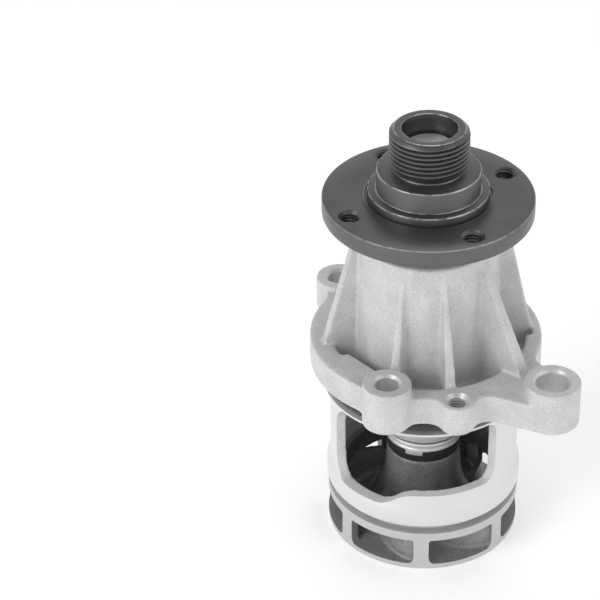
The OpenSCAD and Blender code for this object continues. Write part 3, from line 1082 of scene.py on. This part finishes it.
@dataclass
class Ring:
    """Rubber O-ring, with its moulding flash."""

    cord_r: float = 2.25
    groove_r: float = 27.45
    level: float = -4.4
    flash: float = 0.06

    def build(self, finishes: Finishes) -> bpy.types.Object:
        """Moulds the O-ring.

        Args:
            finishes: the materials.

        Returns:
            The placed ring.
        """
        bm = bmesh.new()
        bmesh.ops.create_circle(bm, cap_ends=False, segments=32, radius=self.cord_r)
        for v in bm.verts:
            reach = self.cord_r + (self.flash if abs(v.co.y) < 0.1 else 0)
            v.co = Vector((v.co.x * reach / self.cord_r, 0, v.co.y))
        bmesh.ops.translate(bm, verts=bm.verts, vec=(self.groove_r + self.cord_r, 0, self.level))
        bmesh.ops.spin(bm, geom=bm.verts[:] + bm.edges[:], cent=(0, 0, 0), axis=Z_AXIS, dvec=(0, 0, 0),
                       angle=math.tau, space=Matrix.Identity(4), steps=FINE_TURN, use_merge=True)
        return place(stock(close_up(bm), "main_o_ring_moulded", finishes["rubber"]), Body.HOUSING, "rubber",
                     "main_o_ring")


@dataclass
class Shaft:
    """Ground bearing shaft with chamfered flat ends and a shallow ball groove."""

    radius: float = 7.95
    top: float = 75.6
    bottom: float = -60.0
    ball_z: float = 14.0
    groove_depth: float = 0.5
    chamfer: float = 0.8

    def build(self, finishes: Finishes) -> bpy.types.Object:
        """Turns the shaft.

        Args:
            finishes: the materials.

        Returns:
            The placed shaft.
        """
        r, c = self.radius, self.chamfer
        piece = stock(turned([(0, self.bottom), (r - c, self.bottom), (r, self.bottom + c),
                              (r, self.ball_z - 1.6), (r - self.groove_depth, self.ball_z - 0.6, 0.5),
                              (r - self.groove_depth, self.ball_z + 0.6, 0.5), (r, self.ball_z + 1.6),
                              (r, self.top - c, 0.2), (r - c, self.top, 0.2), (0, self.top)]),
                      "bearing_shaft_ground", finishes["ground"])
        return place(piece, Body.ROTOR, "ground_steel", "bearing_shaft")


@dataclass
class Internals:
    """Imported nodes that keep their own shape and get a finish."""

    looks: dict = field(default_factory=lambda: {
        "bearing_outer_ring": "bearing", "front_bearing_seal": "seat_rubber",
        "rear_bearing_seal": "seat_rubber", "front_rollers": "bearing", "roller_cage": "polymer",
        "rear_balls": "bearing", "ball_cage": "polymer", "slinger": "seat_rubber", "seal_spring": "stainless",
        "seal_bellows": "seat_rubber", "seal_carbon_face": "carbon", "seal_mating_ring": "ceramic"})

    def dress(self, finishes: Finishes) -> None:
        """Puts each node's finish in its material slots.

        Args:
            finishes: the materials.
        """
        for node, finish in self.looks.items():
            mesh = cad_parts[node].data
            mesh.materials.clear()
            mesh.materials.append(finishes[finish])
            LOG.info("%s: dressed as %s", node, finish)


# ---------------------------------------------------------------- studio


@dataclass
class Studio:
    """Pale floor, soft lights and the camera."""

    camera_place: tuple = (0.0, -0.5823, 0.4116)
    yaw: float = -3.828
    pitch: float = 33.883
    roll: float = -0.939
    lens: float = 136.44
    floor_half: float = 3.0
    floor_tone: float = 0.93
    floor_glow: float = 0.25
    horizon_strength: float = 0.95
    zenith_strength: float = 0.35

    def build(self) -> None:
        """Sets the floor, the lights and the camera."""
        self.floor()
        self.world()
        self.softbox("key_light", (-1.0, -0.8, 0.7), 0.8, 9.0)
        self.softbox("fill_light", (1.1, -0.5, 0.5), 0.8, 3.0)
        self.softbox("top_light", (0.1, 0.5, 1.4), 1.0, 4.0)
        self.camera()

    def floor(self) -> None:
        """Lays the floor just under the object."""
        bm = bmesh.new()
        bmesh.ops.create_grid(bm, x_segments=1, y_segments=1, size=self.floor_half / MM)
        bmesh.ops.translate(bm, verts=bm.verts, vec=(0, 0, CAD_BOX[0][2] / MM))
        paper = bpy.data.materials.new("studio_paper")
        paper.use_nodes = True
        shader = paper.node_tree.nodes["Principled BSDF"]
        shader.inputs["Base Color"].default_value = grey(self.floor_tone)
        shader.inputs["Roughness"].default_value = 0.9
        shader.inputs["Emission Color"].default_value = grey(1.0)
        shader.inputs["Emission Strength"].default_value = self.floor_glow
        piece = stock(bm, "studio_floor", paper)
        piece.data.transform(Matrix.Scale(MM, 4))

    def world(self) -> None:
        """Lights the scene from a surround that is bright at the horizon and dim overhead."""
        world = bpy.data.worlds.new("studio_surround")
        world.use_nodes = True
        bench = NodeBench(world.node_tree)
        height = bench.add("SeparateXYZ", vector=bench.add("TexCoord").outputs["Generated"]).outputs[2]
        strength = bench.ramp(height, 0.15, 0.8, self.horizon_strength, self.zenith_strength)
        back = bench.add("Background", color=grey(1.0), strength=strength)
        bench.add("OutputWorld", surface=back.outputs[0])
        bpy.context.scene.world = world
        bpy.context.scene.view_settings.view_transform = "Standard"

    @staticmethod
    def softbox(name: str, spot: tuple, size: float, power: float) -> None:
        """Hangs a square soft light that faces the object.

        Args:
            name: name of the light.
            spot: its place, in metres.
            size: its side, in metres.
            power: its power, in watts.
        """
        light = bpy.data.lights.new(name, "AREA")
        light.shape = "SQUARE"
        light.size = size
        light.energy = power
        lamp = bpy.data.objects.new(name, light)
        lamp.location = spot
        lamp.rotation_euler = (Vector((0, 0, 0)) - Vector(spot)).to_track_quat("-Z", "Y").to_euler()
        bpy.context.scene.collection.objects.link(lamp)

    def camera(self) -> None:
        """Sets the camera from its place, yaw, pitch and roll."""
        yaw, pitch, roll = (math.radians(a) for a in (self.yaw, self.pitch, self.roll))
        ahead = Vector((math.sin(yaw) * math.cos(pitch), math.cos(yaw) * math.cos(pitch), -math.sin(pitch)))
        right = Vector((math.cos(yaw), -math.sin(yaw), 0))
        up = right.cross(ahead)
        right, up = (right * math.cos(roll) + up * math.sin(roll),
                     up * math.cos(roll) - right * math.sin(roll))
        lens = bpy.data.cameras.new("studio_camera")
        lens.lens = self.lens
        lens.clip_start = 0.01
        view = bpy.data.objects.new("studio_camera", lens)
        turn = Matrix((right, up, -ahead)).transposed().to_4x4()
        view.matrix_world = Matrix.Translation(self.camera_place) @ turn
        bpy.context.scene.collection.objects.link(view)
        bpy.context.scene.camera = view


def main() -> None:
    """Builds the studio, then the pump from the housing out."""
    logging.basicConfig(level=logging.INFO, format="%(message)s")
    Studio().build()
    hub = DriveHub()
    finishes = Finishes(hub.painted_glint_edges())
    Housing().build(finishes)
    Ring().build(finishes)
    Seal().build(finishes)
    Shaft().build(finishes)
    Impeller().build(finishes)
    hub.build(finishes)
    Internals().dress(finishes)


if __name__ == "__main__":
    main()
